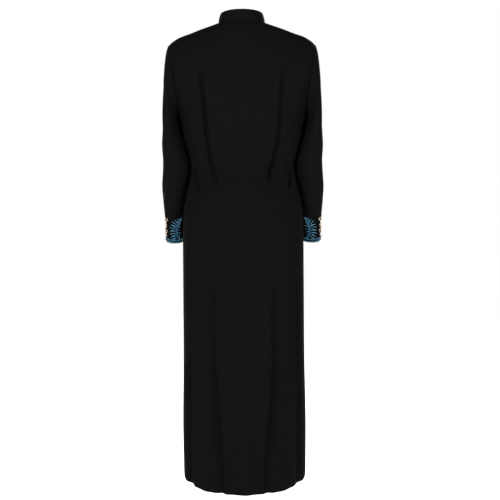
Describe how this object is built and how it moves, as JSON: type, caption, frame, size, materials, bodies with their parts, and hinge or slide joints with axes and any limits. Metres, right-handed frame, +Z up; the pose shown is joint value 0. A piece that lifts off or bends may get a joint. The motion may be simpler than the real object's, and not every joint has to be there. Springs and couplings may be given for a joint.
{
  "type": "abaya",
  "caption": "Full-length black abaya in worn, hollow form, with a stand collar, lapped front, long set-in sleeves and embroidered cuffs.",
  "frame": {"origin": "middle of the neck opening, level with the side neck points, where the wearer's shoulders carry the garment", "axes": "+Z up the body, -Y out of the front, +X to the wearer's left"},
  "size_m": [0.4888, 0.286, 1.4168],
  "materials": {
    "crepe": "matte black crepe weave",
    "cuff_crepe": "matte black crepe under dense embroidery",
    "thread_blue": "satin-stitched blue embroidery thread",
    "thread_cream": "satin-stitched cream embroidery thread"
  },
  "bodies": {
    "root": {"back": "crepe", "front_left": "crepe", "front_right": "crepe", "collar": "crepe", "sleeve_left": "crepe", "sleeve_right": "crepe", "cuff_left": "cuff_crepe", "cuff_right": "cuff_crepe"}
  },
  "joints": []
}
